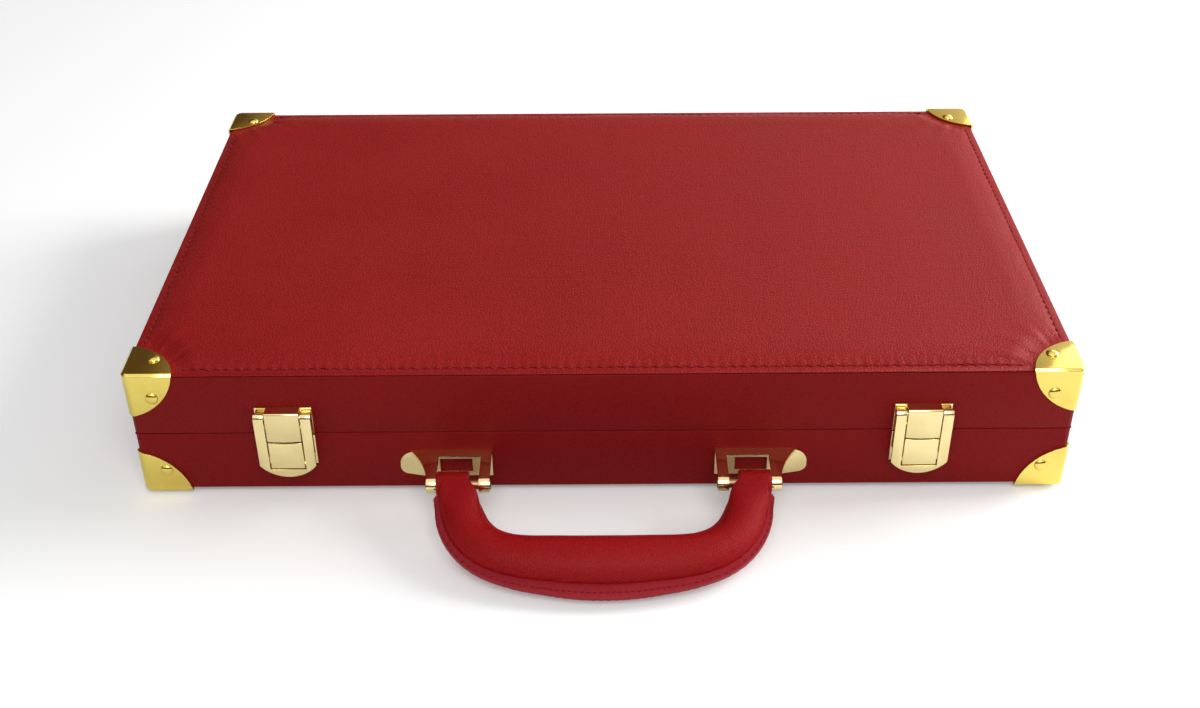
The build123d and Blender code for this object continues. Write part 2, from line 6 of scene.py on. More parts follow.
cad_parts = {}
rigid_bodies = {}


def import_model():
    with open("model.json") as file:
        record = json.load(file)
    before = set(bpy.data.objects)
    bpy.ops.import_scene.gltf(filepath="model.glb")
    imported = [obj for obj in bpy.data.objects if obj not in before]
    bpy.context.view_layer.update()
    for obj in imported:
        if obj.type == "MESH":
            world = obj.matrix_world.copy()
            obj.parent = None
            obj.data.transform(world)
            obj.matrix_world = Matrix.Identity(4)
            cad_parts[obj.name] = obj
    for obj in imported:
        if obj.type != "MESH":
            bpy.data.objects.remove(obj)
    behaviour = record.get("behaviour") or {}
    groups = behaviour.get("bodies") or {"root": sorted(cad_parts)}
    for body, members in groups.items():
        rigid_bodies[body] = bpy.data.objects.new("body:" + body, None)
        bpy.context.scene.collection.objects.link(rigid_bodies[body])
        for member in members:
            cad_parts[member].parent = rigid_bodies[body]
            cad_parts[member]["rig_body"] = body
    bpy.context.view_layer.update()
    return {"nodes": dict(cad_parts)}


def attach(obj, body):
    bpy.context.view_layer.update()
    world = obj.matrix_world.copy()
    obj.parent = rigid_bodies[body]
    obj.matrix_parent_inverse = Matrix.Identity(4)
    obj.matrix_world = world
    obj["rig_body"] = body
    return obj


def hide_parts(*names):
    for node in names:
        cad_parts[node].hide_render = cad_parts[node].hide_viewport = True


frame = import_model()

mm = 0.001

# Camera, table and lamps.
# The case lies on a plain white table in soft studio light.
# The camera stands in front and looks down at it by about thirty-five degrees.

picture_width = 1200.0
focal_length = 1512.84  # in pixels of the photograph
camera_place = (-1.64 * mm, -602.71 * mm, 401.05 * mm)
camera_turn, camera_tip, camera_lean = -0.050, 90.0 - 34.443, -0.333  # in degrees


def linked(name, data):
    """A new object in the scene that shows the given data."""
    thing = bpy.data.objects.new(name, data)
    bpy.context.scene.collection.objects.link(thing)
    return thing


camera_data = bpy.data.cameras.new("camera")
camera_data.sensor_width = 36.0
camera_data.lens = camera_data.sensor_width * focal_length / picture_width
camera_data.clip_start = 0.01
camera = linked("camera", camera_data)
camera.location = camera_place
turn = Matrix.Rotation(math.radians(camera_turn), 3, "Z")
tip = Matrix.Rotation(math.radians(camera_tip), 3, "X")
lean = Matrix.Rotation(math.radians(camera_lean), 3, "Z")
camera.rotation_euler = (turn @ tip @ lean).to_euler()
bpy.context.scene.camera = camera
bpy.context.scene.view_settings.view_transform = "Standard"


def set_sockets(node, sockets):
    """Give a shader node's inputs their values, or link them to outputs of other nodes."""
    for socket, value in sockets.items():
        if isinstance(value, bpy.types.NodeSocket):
            node.id_data.links.new(value, node.inputs[socket])
        else:
            node.inputs[socket].default_value = value


def add_node(tree, kind, sockets=None, **settings):
    """A new shader node with its settings and inputs."""
    node = tree.nodes.new(kind)
    for key, value in settings.items():
        setattr(node, key, value)
    set_sockets(node, sockets or {})
    return node


def surface(name):
    """A new material, with its node tree and its principled shader."""
    material = bpy.data.materials.new(name)
    material.use_nodes = True
    return material, material.node_tree, material.node_tree.nodes["Principled BSDF"]


def nothing_selected():
    """Leave object mode with nothing selected."""
    if bpy.context.object and bpy.context.object.mode != "OBJECT":
        bpy.ops.object.mode_set(mode="OBJECT")
    bpy.ops.object.select_all(action="DESELECT")


nothing_selected()
bpy.ops.mesh.primitive_plane_add(size=9.0, location=(0, 0, 0))
table = bpy.context.object
table.name = "table"
table_paint, tree, shader = surface("table_paint")
rays = add_node(tree, "ShaderNodeLightPath")
seen = add_node(tree, "ShaderNodeMath", {0: rays.outputs["Is Camera Ray"], 1: 0.16}, operation="MULTIPLY")
set_sockets(shader, {
    "Base Color": (0.90, 0.90, 0.90, 1), "Roughness": 0.75, "Specular IOR Level": 0.1,
    "Emission Color": (1.0, 1.0, 1.0, 1), "Emission Strength": seen.outputs[0],
})
table.data.materials.append(table_paint)

world = bpy.data.worlds.new("studio")
bpy.context.scene.world = world
world.use_nodes = True
sky = world.node_tree
rays = add_node(sky, "ShaderNodeLightPath").outputs
direct = add_node(sky, "ShaderNodeMath", {0: rays["Is Camera Ray"], 1: rays["Is Transmission Ray"]},
                  operation="MAXIMUM")
look = add_node(sky, "ShaderNodeTexCoord")
split = add_node(sky, "ShaderNodeSeparateXYZ", {0: look.outputs["Generated"]})


def ramp(source, begin, end, first, last):
    """A level that changes evenly along one direction of the room."""
    limits = {"Value": source, "From Min": begin, "From Max": end, "To Min": first, "To Max": last}
    return add_node(sky, "ShaderNodeMapRange", limits).outputs[0]


def turning(factor, first, second):
    """One level turning into another by the factor."""
    return add_node(sky, "ShaderNodeMix", {"Factor": factor, "A": first, "B": second}).outputs["Result"]


behind = ramp(split.outputs["X"], -0.24, 0.30, 0.10, 0.80)
before = ramp(split.outputs["Z"], 0.22, 0.60, 0.08, 1.0)
in_front = ramp(split.outputs["Y"], 0.15, -0.15, 0.0, 1.0)
overhead = ramp(split.outputs["Z"], 0.72, 0.92, 0.0, 1.0)
room = turning(overhead, turning(in_front, behind, before), 1.0)
strength = turning(direct.outputs[0], turning(rays["Is Glossy Ray"], 0.37, room), 1.0)
others = add_node(sky, "ShaderNodeMath", {0: 1.0, 1: rays["Is Glossy Ray"]}, operation="SUBTRACT")
even = add_node(sky, "ShaderNodeMath", {0: others.outputs[0], 1: room}, operation="MAXIMUM")


def blend(tree, factor, first, second):
    """A colour between two others."""
    sockets = {"Factor": factor, "A": first, "B": second}
    return add_node(tree, "ShaderNodeMix", sockets, data_type="RGBA").outputs["Result"]


warmth = blend(sky, even.outputs[0], (1.0, 0.60, 0.34, 1), (1, 1, 1, 1))
set_sockets(sky.nodes["Background"], {"Strength": strength, "Color": warmth})

lamps = (
    ("front_softbox", (0.10, -1.12, 1.20), 0.9, 11.5),
    ("right_softbox", (1.20, 0.35, 0.64), 0.8, 23.0),
    ("back_softbox", (0.95, 1.20, 0.95), 0.8, 2.5),
)
for name, spot, size, power in lamps:
    lamp_data = bpy.data.lights.new(name, "AREA")
    lamp_data.shape = "SQUARE"
    lamp_data.size = size
    lamp_data.energy = power
    lamp = linked(name, lamp_data)
    lamp.location = spot
    lamp.rotation_euler = (-Vector(spot)).to_track_quat("-Z", "Y").to_euler()


# Walls of the body and the lid.
# Each half has four wooden walls covered outside with thin leatherette, glued on and turned over the rim.
# Inside they are lined with flocked cloth; the two halves meet with a narrow dark gap.

seam = 31.0 * mm


def group_tree(name, wanted, given):
    """An empty node group with named inputs and outputs."""
    tree = bpy.data.node_groups.new(name, "ShaderNodeTree")
    for label, kind, value in wanted:
        socket = tree.interface.new_socket(label, in_out="INPUT", socket_type=kind)
        socket.default_value = value
    for label, kind in given:
        tree.interface.new_socket(label, in_out="OUTPUT", socket_type=kind)
    return tree, tree.nodes.new("NodeGroupInput"), tree.nodes.new("NodeGroupOutput")


def object_place(tree):
    """Coordinates fixed to the piece."""
    return add_node(tree, "ShaderNodeTexCoord").outputs["Object"]


def noise(tree, place, scale, detail=2.0, distortion=0.0):
    """Cloudy noise over the given coordinates."""
    return add_node(tree, "ShaderNodeTexNoise",
                    {"Vector": place, "Scale": scale, "Detail": detail, "Distortion": distortion})


def relief_of(tree, height, distance, strength=1.0):
    """A bump that turns a height into the shader's normal."""
    sockets = {"Height": height, "Distance": distance, "Strength": strength}
    return add_node(tree, "ShaderNodeBump", sockets).outputs[0]


def leather_grain_group():
    """Pebbled leatherette: raised cells, long soft creases, a slow drift of colour and painted shade in the valleys
    between the cells.
    """
    tree, enter, leave = group_tree(
        "leather_grain",
        (
            ("Colour", "NodeSocketColor", (0.2, 0.01, 0.01, 1)),
            ("Pale colour", "NodeSocketColor", (0.3, 0.03, 0.03, 1)),
            ("Valley shade colour", "NodeSocketColor", (0.1, 0.005, 0.005, 1)),
            ("Cells per metre", "NodeSocketFloat", 800.0),
            ("Crease", "NodeSocketFloat", 0.3),
            ("Roughness", "NodeSocketFloat", 0.45),
        ),
        (("Colour", "NodeSocketColor"), ("Roughness", "NodeSocketFloat"), ("Height", "NodeSocketFloat")),
    )
    given = enter.outputs
    place = object_place(tree)
    wobble = noise(tree, place, 420.0)
    shift = add_node(tree, "ShaderNodeVectorMath",
                     {0: wobble.outputs["Color"], 1: (0.0009, 0.0009, 0.0009), 2: place}, operation="MULTIPLY_ADD")
    cells = add_node(tree, "ShaderNodeTexVoronoi", {"Vector": shift.outputs[0], "Scale": given["Cells per metre"]},
                     feature="DISTANCE_TO_EDGE")
    pebble = add_node(tree, "ShaderNodeMapRange", {"Value": cells.outputs["Distance"], "From Max": 0.32},
                      interpolation_type="SMOOTHSTEP")
    stretch = add_node(tree, "ShaderNodeMapping", {"Vector": place, "Scale": (0.10, 1.0, 1.0)})
    folds = noise(tree, stretch.outputs[0], 260.0, 4.0, 0.6)
    lines = add_node(tree, "ShaderNodeMapRange", {"Value": folds.outputs["Fac"], "From Min": 0.35, "From Max": 0.62})
    creased = add_node(tree, "ShaderNodeMath", {0: lines.outputs[0], 1: given["Crease"]}, operation="MULTIPLY")
    height = add_node(tree, "ShaderNodeMath", {0: pebble.outputs[0], 1: creased.outputs[0]}, operation="ADD")
    drift = noise(tree, place, 17.0, 3.0).outputs["Fac"]
    patch = add_node(tree, "ShaderNodeMapRange", {"Value": drift, "From Min": 0.35, "From Max": 0.7, "To Max": 0.45})
    paler = blend(tree, patch.outputs[0], given["Colour"], given["Pale colour"])
    # Painted shade: the low valleys between the raised cells are mixed up to halfway towards the darkest colour.
    valley_shade = add_node(tree, "ShaderNodeMapRange",
                      {"Value": pebble.outputs[0], "From Max": 0.8, "To Min": 0.50, "To Max": 0.0})
    valley_shaded = blend(tree, valley_shade.outputs[0], paler, given["Valley shade colour"])
    gloss = add_node(tree, "ShaderNodeMapRange",
                     {"Value": drift, "From Min": 0.3, "From Max": 0.7, "To Min": -0.06, "To Max": 0.10})
    rough = add_node(tree, "ShaderNodeMath", {0: gloss.outputs[0], 1: given["Roughness"]}, operation="ADD")
    set_sockets(leave, {"Colour": valley_shaded, "Roughness": rough.outputs[0], "Height": height.outputs[0]})
    return tree


leather_grain = leather_grain_group()


def grouped_finish(name, group, inputs, relief, strength, **others):
    """A material made from a finish group, with its own inputs, relief and shader settings."""
    material, tree, shader = surface(name)
    finish = tree.nodes.new("ShaderNodeGroup")
    finish.node_tree = group
    set_sockets(finish, inputs)
    set_sockets(shader, {
        "Base Color": finish.outputs["Colour"], "Roughness": finish.outputs["Roughness"],
        "Normal": relief_of(tree, finish.outputs["Height"], relief, strength), **others,
    })
    return material


def leatherette(name, colour, pale, valley_shade_colour, cells, crease, roughness, relief, gloss):
    """A leatherette finish made from the grain group, with its own colour, grain size and relief."""
    inputs = {
        "Colour": (*colour, 1), "Pale colour": (*pale, 1), "Valley shade colour": (*valley_shade_colour, 1),
        "Cells per metre": cells, "Crease": crease, "Roughness": roughness,
    }
    return grouped_finish(name, leather_grain, inputs, relief, 1.0, **{"Specular IOR Level": gloss})


def work_on(piece):
    """Make one piece the only one selected, and the active one."""
    nothing_selected()
    piece.select_set(True)
    bpy.context.view_layer.objects.active = piece


def edit_all():
    """Go into edit mode with everything selected."""
    bpy.ops.object.mode_set(mode="EDIT")
    bpy.ops.mesh.select_all(action="SELECT")


def add_modifier(piece, kind, **settings):
    """Add a modifier, set it up and apply it."""
    work_on(piece)
    modifier = piece.modifiers.new(kind.lower(), kind)
    for key, value in settings.items():
        setattr(modifier, key, value)
    bpy.ops.object.modifier_apply(modifier=modifier.name)


def dressed(node, name, bevel, material, segments=2, corner=32.0, plain_faces=True):
    """A merged copy of a CAD node with softened edges, in place of the node."""
    source = frame["nodes"][node]
    piece = linked(name, source.data.copy())
    work_on(piece)
    edit_all()
    bpy.ops.mesh.remove_doubles(threshold=0.004 * mm)
    bpy.ops.mesh.customdata_custom_splitnormals_clear()
    if plain_faces:
        bpy.ops.mesh.dissolve_limited(angle_limit=math.radians(0.6))
    bpy.ops.object.mode_set(mode="OBJECT")
    add_modifier(piece, "BEVEL", width=bevel, segments=segments, limit_method="ANGLE",
                 angle_limit=math.radians(corner), use_clamp_overlap=True)
    bpy.ops.object.shade_smooth_by_angle(angle=math.radians(corner))
    piece.data.materials.clear()
    piece.data.materials.append(material)
    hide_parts(node)
    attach(piece, source["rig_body"])
    return piece


def apply_place():
    """Put the selected object's place, turn and size into its mesh."""
    bpy.ops.object.transform_apply(location=True, rotation=True, scale=True)


def pick_faces(piece, wanted):
    """Go into edit mode with only the faces selected that the test picks."""
    work_on(piece)
    bpy.ops.object.mode_set(mode="EDIT")
    bpy.ops.mesh.select_mode(type="FACE")
    bpy.ops.mesh.select_all(action="DESELECT")
    bpy.ops.object.mode_set(mode="OBJECT")
    for face in piece.data.polygons:
        face.select = wanted(face)
    bpy.ops.object.mode_set(mode="EDIT")


def block(name, low, high):
    """A box between two corners, with its place in its mesh."""
    nothing_selected()
    middle = [(a + b) / 2 for a, b in zip(low, high)]
    bpy.ops.mesh.primitive_cube_add(size=1.0, location=middle)
    piece = bpy.context.object
    piece.name = name
    piece.scale = [b - a for a, b in zip(low, high)]
    apply_place()
    return piece


wall_leather = leatherette(
    "wall_leatherette", (0.215, 0.0040, 0.0052), (0.260, 0.0080, 0.0090), (0.110, 0.0015, 0.0020),
    1500.0, 0.5, 0.46, 0.00005, 0.10,
)

lining, tree, shader = surface("flocked_lining")
place = object_place(tree)
fibres = noise(tree, place, 2600.0, 5.0).outputs["Fac"]
nap = noise(tree, place, 28.0, 3.0).outputs["Fac"]
spread = add_node(tree, "ShaderNodeMath", {0: fibres, 1: 0.5, 2: nap}, operation="MULTIPLY_ADD")
set_sockets(shader, {
    "Base Color": blend(tree, spread.outputs[0], (0.060, 0.0045, 0.006, 1), (0.120, 0.010, 0.013, 1)),
    "Normal": relief_of(tree, fibres, 0.0001, 0.8), "Roughness": 0.95, "Specular IOR Level": 0.15,
    "Sheen Weight": 0.35, "Sheen Roughness": 0.4, "Sheen Tint": (0.55, 0.12, 0.12, 1),
})

for half in ("body", "lid"):
    dressed(f"{half}_wall_skin", f"{half}_wall_cover", 0.45 * mm, wall_leather, segments=3, plain_faces=False)
    for rail in ("front_rail", "back_rail", "side_rails"):
        dressed(f"{half}_{rail}", f"{half}_{rail}_lined", 0.25 * mm, lining, plain_faces=False)

rim_width = 5.6 * mm
rim_size = (377.2 * mm, 235.2 * mm)
hinge_rebate = 109.0 * mm
for half, side in (("body", -1), ("lid", 1)):
    nothing_selected()
    bpy.ops.mesh.primitive_plane_add(size=1.0, location=(0, 0, seam + side * 0.12 * mm))
    strip = bpy.context.object
    strip.name = f"{half}_rim_turnover"
    strip.scale = (*rim_size, 1)
    apply_place()
    edit_all()
    bpy.ops.mesh.inset(thickness=rim_width)
    bpy.ops.mesh.delete(type="FACE")
    bpy.ops.mesh.select_all(action="SELECT")
    bpy.ops.mesh.bisect(plane_co=(0, hinge_rebate, 0), plane_no=(0, 1, 0), clear_outer=True)
    bpy.ops.object.mode_set(mode="OBJECT")
    add_modifier(strip, "SOLIDIFY", thickness=0.14 * mm, offset=0.0)
    strip.data.materials.append(wall_leather)
    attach(strip, half)


# Padded panels of the body and the lid.
# Leatherette is stretched over a foam pad and pulled down to a flat flange, sewn all round the edge.
# It puckers a little at the thread and wrinkles where the brass corners press it down.

panel_leather = leatherette(
    "panel_leatherette", (0.275, 0.0070, 0.0062), (0.335, 0.0130, 0.0115), (0.150, 0.0030, 0.0030),
    780.0, 0.25, 0.44, 0.00010, 0.16,
)
thread_paint, tree, shader = surface("red_thread")
twist = add_node(tree, "ShaderNodeTexWave", {"Vector": object_place(tree), "Scale": 900.0, "Distortion": 1.5},
                 bands_direction="DIAGONAL").outputs["Fac"]
set_sockets(shader, {
    "Base Color": blend(tree, twist, (0.115, 0.006, 0.007, 1), (0.32, 0.030, 0.030, 1)),
    "Normal": relief_of(tree, twist, 0.00008), "Roughness": 0.7, "Specular IOR Level": 0.06,
})

case_half_width = 189.0 * mm
case_half_depth = 118.0 * mm
stitch_inset = 3.9 * mm
stitch_pitch = 4.35 * mm
flange_top = 28.55 * mm
flap_centre = (192.2 * mm, 121.2 * mm)
flap_reach = 24.2 * mm


def pressed_level(x, y, level, low):
    """The panel's height, eased down to the brass near a corner flap, with small wrinkles round it."""
    dx = abs(x) - flap_centre[0]
    dy = abs(y) - flap_centre[1]
    away = math.hypot(dx, dy) - flap_reach
    if away < 0.0:
        return min(level, low)
    if away < 26.0 * mm:
        share = away / (26.0 * mm)
        ease = min(1.0, away / (9.0 * mm))
        ease = ease * ease * (3 - 2 * ease)
        angle = math.atan2(dy, dx)
        ripple = math.sin(angle * 23.0 + (1.3 if x > 0 else 0.2)) * 0.6 + math.sin(angle * 41.0 + 2.0) * 0.4
        ripple *= 0.00042 * (1 - share) ** 1.5 * min(1.0, away / (2.5 * mm))
        return low + (level - low) * ease + ripple
    return level


def edge_level(x, y, level, low):
    """The panel's height near the stitching, with the small dip at each stitch."""
    inward = min(case_half_width - stitch_inset - abs(x), case_half_depth - stitch_inset - abs(y))
    along = x if case_half_depth - abs(y) < case_half_width - abs(x) else y
    pucker = math.cos(math.tau * along / stitch_pitch)
    fade = max(0.0, 1 - inward / (7.0 * mm))
    slow = math.sin(along * 95.0) * 0.5 + math.sin(along * 223.0 + 1.0) * 0.5
    return level + fade ** 1.5 * (0.00017 * pucker) + fade * 0.00016 * slow


def cloth_swell(piece, sewn, limit, frames, mass, tension, bending, pressure):
    """Blow a piece up by cloth simulation, with its sewn points held and no point moved past the limit."""
    start = [v.co.copy() for v in piece.data.vertices]
    pins = piece.vertex_groups.new(name="sewn")
    pins.add([v.index for v in piece.data.vertices if sewn(v)], 1.0, "REPLACE")
    cloth = piece.modifiers.new("cloth", "CLOTH")
    cloth.settings.quality = 5
    cloth.settings.mass = mass
    cloth.settings.tension_stiffness = tension
    cloth.settings.bending_stiffness = bending
    cloth.settings.use_pressure = True
    cloth.settings.uniform_pressure_force = pressure
    cloth.settings.effector_weights.gravity = 0.0
    cloth.settings.vertex_group_mass = "sewn"
    cloth.point_cache.frame_start = 1
    cloth.point_cache.frame_end = frames
    for step in range(1, frames + 1):
        bpy.context.scene.frame_set(step)
    work_on(piece)
    bpy.ops.object.modifier_apply(modifier="cloth")
    piece.vertex_groups.clear()
    bpy.context.scene.frame_set(1)
    for vertex, before in zip(piece.data.vertices, start):
        moved = vertex.co - before
        if moved.length > limit:
            vertex.co = before + moved.normalized() * limit


def onto_half(piece, side):
    """Carry a piece drawn upward from the seam onto its half, with its faces turned outward."""
    for vertex in piece.data.vertices:
        vertex.co.z = seam + side * vertex.co.z
    work_on(piece)
    edit_all()
    bpy.ops.mesh.normals_make_consistent(inside=False)
    bpy.ops.object.mode_set(mode="OBJECT")


def padded_panel(half, side, crown):
    """The stuffed panel, swollen by cloth simulation and then pressed at its edges and corners."""
    low = flange_top
    half_width = case_half_width - stitch_inset
    half_depth = case_half_depth - stitch_inset
    floor = low - 0.85 * mm
    start_top = low + 0.9 * mm
    lowest = floor - 5 * mm
    piece = block(f"{half}_padded_panel", (-half_width, -half_depth, lowest), (half_width, half_depth, start_top))
    edit_all()
    bpy.ops.mesh.bevel(offset=2.0 * mm, segments=2, affect="EDGES")
    bpy.ops.object.mode_set(mode="OBJECT")
    add_modifier(piece, "REMESH", mode="VOXEL", voxel_size=4.2 * mm)
    cloth_swell(piece, lambda v: v.co.z < low - 1.5 * mm, limit=2.4 * mm, frames=16,
                mass=0.25, tension=12, bending=1.2, pressure=4.0)
    add_modifier(piece, "SUBSURF", levels=1, render_levels=1)
    pick_faces(piece, lambda face: face.normal.z > 0.3 and min(
        half_width - abs(face.center.x), half_depth - abs(face.center.y)) < 9 * mm)
    bpy.ops.mesh.subdivide(number_cuts=1)
    bpy.ops.object.mode_set(mode="OBJECT")
    for vertex in piece.data.vertices:
        x, y, z = vertex.co
        if z < low - 3 * mm:
            vertex.co.z = floor
            continue
        inward = min(half_width - abs(x), half_depth - abs(y))
        share = max(0.0, min(1.0, inward / (11.0 * mm)))
        dome = math.sin(math.pi / 2 * share ** 0.85)
        swollen = max(-0.5 * mm, min(0.5 * mm, z - start_top))
        middle = 0.25 * mm * (1 - (x / half_width) ** 2) * (1 - (y / half_depth) ** 2)
        level = low + (crown - 0.4 * mm) * dome + (0.32 * swollen + middle) * share
        level = edge_level(x, y, level, low)
        level = pressed_level(x, y, level, low - 0.15 * mm)
        vertex.co.z = min(level, low + crown)
        vertex.co.x = max(-half_width, min(half_width, x))
        vertex.co.y = max(-half_depth, min(half_depth, y))
    onto_half(piece, side)
    bpy.ops.object.shade_smooth()
    piece.data.materials.append(panel_leather)
    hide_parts(f"{half}_panel_cover", f"{half}_panel_pad")
    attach(piece, half)


def panel_flange(half, side):
    """The flat sewn edge of the panel, sloping down a little to the outside and rounded over the wall."""
    x, y = case_half_width - 0.45 * mm, case_half_depth - 0.45 * mm
    piece = block(f"{half}_panel_flange", (-x, -y, flange_top - 1.0 * mm), (x, y, flange_top))
    pick_faces(piece, lambda face: face.normal.z > 0.9)
    bpy.ops.mesh.inset(thickness=2.6 * mm)
    bpy.ops.mesh.inset(thickness=1.6 * mm)
    bpy.ops.transform.translate(value=(0, 0, -0.28 * mm))
    bpy.ops.mesh.inset(thickness=2.5 * mm)
    bpy.ops.transform.translate(value=(0, 0, -0.3 * mm))
    bpy.ops.object.mode_set(mode="OBJECT")
    for vertex in piece.data.vertices:
        outside = max(abs(vertex.co.x) - case_half_width, abs(vertex.co.y) - case_half_depth)
        if vertex.co.z > flange_top - 0.2 * mm and outside > -1.0 * mm:
            vertex.co.z -= 0.45 * mm
    add_modifier(piece, "BEVEL", width=0.32 * mm, segments=3, limit_method="ANGLE", angle_limit=math.radians(25))
    onto_half(piece, side)
    bpy.ops.object.shade_smooth_by_angle(angle=math.radians(40))
    piece.data.materials.append(panel_leather)
    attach(piece, half)


def copies_at(source, moves):
    """Copies of a piece, each with its own mesh, moved by the given matrices."""
    made = []
    for move in moves:
        copy = linked(source.name, source.data.copy())
        copy.data.transform(move)
        made.append(copy)
    return made


def joined(pieces):
    """Several pieces as one object."""
    nothing_selected()
    for piece in pieces:
        piece.select_set(True)
    bpy.context.view_layer.objects.active = pieces[0]
    bpy.ops.object.join()
    return bpy.context.object


def merged(name, copies, material, body):
    """Join copies of one small piece into a single object that rides on a body."""
    piece = joined(copies)
    piece.name = name
    piece.data.materials.clear()
    piece.data.materials.append(material)
    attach(piece, body)
    return piece


def sewn_thread(name, spots, length, radius, body):
    """One stitch is modelled and copied to every place: (position, direction, outward)."""
    nothing_selected()
    bpy.ops.mesh.primitive_uv_sphere_add(segments=8, ring_count=6, radius=1.0)
    stitch = bpy.context.object
    stitch.scale = (length / 2, radius, radius * 0.8)
    apply_place()
    for vertex in stitch.data.vertices:
        lift = 1 - (2 * vertex.co.x / length) ** 2
        vertex.co.z += 0.5 * radius * lift
    bpy.ops.object.shade_smooth()
    moves = []
    for spot, heading, outward in spots:
        along = Vector(heading).normalized()
        up = Vector(outward).normalized()
        turn = Matrix((along, up.cross(along), up)).transposed()
        moves.append(Matrix.Translation(Vector(spot)) @ turn.to_4x4())
    merged(name, copies_at(stitch, moves), thread_paint, body)
    bpy.data.objects.remove(stitch)


panel_crown = 2.42 * mm
corner_gap = 22.2 * mm
for half, side in (("body", -1), ("lid", 1)):
    padded_panel(half, side, panel_crown)
    panel_flange(half, side)
    dressed(f"{half}_panel_board", f"{half}_panel_board_covered", 0.2 * mm, lining)
    spots = []
    level = seam + side * 28.42 * mm
    runs = ((case_half_width, case_half_depth, (1, 0, 0)), (case_half_depth, case_half_width, (0, 1, 0)))
    for run, other, heading in runs:
        half_run = run - corner_gap
        count = int(2 * half_run / stitch_pitch)
        for index in range(count + 1):
            along = -half_run + (index + 0.5) * 2 * half_run / (count + 1)
            for edge in (-1, 1):
                across = edge * (other - stitch_inset)
                spot = (along, across, level) if heading[0] else (across, along, level)
                spots.append((spot, heading, (0, 0, side)))
    sewn_thread(f"{half}_panel_stitching", spots, 3.0 * mm, 0.46 * mm, half)


# Brass corners.
# Each corner is one piece of brass sheet, pressed over the case corner into three round-cut flaps.
# A dome-headed brass nail holds each flap.

def brass_wear_group():
    """Lacquered brass: faint rubbing marks, smudges and slightly duller patches."""
    tree, enter, leave = group_tree(
        "brass_wear",
        (
            ("Colour", "NodeSocketColor", (0.83, 0.66, 0.32, 1)),
            ("Dull colour", "NodeSocketColor", (0.62, 0.42, 0.15, 1)),
            ("Roughness", "NodeSocketFloat", 0.16),
        ),
        (("Colour", "NodeSocketColor"), ("Roughness", "NodeSocketFloat"), ("Height", "NodeSocketFloat")),
    )
    given = enter.outputs
    place = object_place(tree)
    smudge = noise(tree, place, 90.0, 4.0)
    stretch = add_node(tree, "ShaderNodeMapping",
                       {"Vector": place, "Scale": (0.06, 1.0, 1.0), "Rotation": (0.3, 0.2, 0.5)})
    rubbed = noise(tree, stretch.outputs[0], 2400.0, 3.0)
    dull = add_node(tree, "ShaderNodeMapRange",
                    {"Value": smudge.outputs["Fac"], "From Min": 0.45, "From Max": 0.8, "To Max": 0.55}).outputs[0]
    more = add_node(tree, "ShaderNodeMath", {0: dull, 1: 0.12, 2: given["Roughness"]}, operation="MULTIPLY_ADD")
    set_sockets(leave, {
        "Colour": blend(tree, dull, given["Colour"], given["Dull colour"]),
        "Roughness": more.outputs[0], "Height": rubbed.outputs["Fac"],
    })
    return tree


brass_wear = brass_wear_group()


def plated(name, colour, dull, roughness):
    """A polished metal finish from the wear group."""
    inputs = {"Colour": (*colour, 1), "Dull colour": (*dull, 1), "Roughness": roughness}
    return grouped_finish(name, brass_wear, inputs, 0.000006, 0.5, Metallic=1.0)


brass = plated("lacquered_brass", (0.86, 0.69, 0.165), (0.74, 0.54, 0.11), 0.10)
steel = plated("bright_steel", (0.62, 0.60, 0.57), (0.45, 0.43, 0.40), 0.28)


def dome_head(radius, height):
    """A low domed head with a rolled edge, its flat side at height 0."""
    nothing_selected()
    bpy.ops.mesh.primitive_uv_sphere_add(segments=24, ring_count=16, radius=1.0)
    head = bpy.context.object
    edit_all()
    bpy.ops.mesh.bisect(plane_co=(0, 0, 0.05), plane_no=(0, 0, -1), clear_outer=True, use_fill=False)
    bpy.ops.object.mode_set(mode="OBJECT")
    head.scale = (radius, radius, height)
    apply_place()
    bpy.ops.object.mode_set(mode="EDIT")
    bpy.ops.mesh.select_all(action="DESELECT")
    bpy.ops.mesh.select_mode(type="EDGE")
    bpy.ops.mesh.select_non_manifold()
    bpy.ops.mesh.extrude_region_move(TRANSFORM_OT_translate={"value": (0, 0, -0.12 * height - 0.08 * mm)})
    bpy.ops.mesh.edge_face_add()
    bpy.ops.mesh.select_all(action="SELECT")
    bpy.ops.mesh.normals_make_consistent(inside=False)
    bpy.ops.object.mode_set(mode="OBJECT")
    bpy.ops.object.shade_smooth_by_angle(angle=math.radians(50))
    return head


nail_inset = 11.3 * mm
brass_half = (189.85 * mm, 118.85 * mm)
brass_rise = 29.4 * mm
for half, side in (("body", -1), ("lid", 1)):
    dressed(f"{half}_corners", f"{half}_brass_corners", 0.34 * mm, brass, segments=3, corner=35.0)
    nail = dome_head(2.6 * mm, 1.25 * mm)
    moves = []
    for x_side in (-1, 1):
        for y_side in (-1, 1):
            x, y, z = x_side * brass_half[0], y_side * brass_half[1], seam + side * brass_rise
            x_in, y_in, z_in = x - x_side * nail_inset, y - y_side * nail_inset, z - side * nail_inset
            flat = Matrix.Rotation(0 if side > 0 else math.pi, 4, "X")
            moves.append(Matrix.Translation((x_in, y_in, z)) @ flat)
            moves.append(Matrix.Translation((x, y_in, z_in)) @ Matrix.Rotation(x_side * math.pi / 2, 4, "Y"))
            moves.append(Matrix.Translation((x_in, y, z_in)) @ Matrix.Rotation(-y_side * math.pi / 2, 4, "X"))
    merged(f"{half}_corner_nails", copies_at(nail, moves), brass, half)
    bpy.data.objects.remove(nail)


# Piano hinge.
# Two brass leaves lie in rebates in the back rims and roll into alternate knuckles round one long pin.
# Countersunk screws hold each leaf.

for half in ("body", "lid"):
    dressed(f"hinge_leaf_{half}", f"{half}_hinge_leaf", 0.12 * mm, brass, corner=40.0)
dressed("hinge_pin", "hinge_rod", 0.15 * mm, steel)

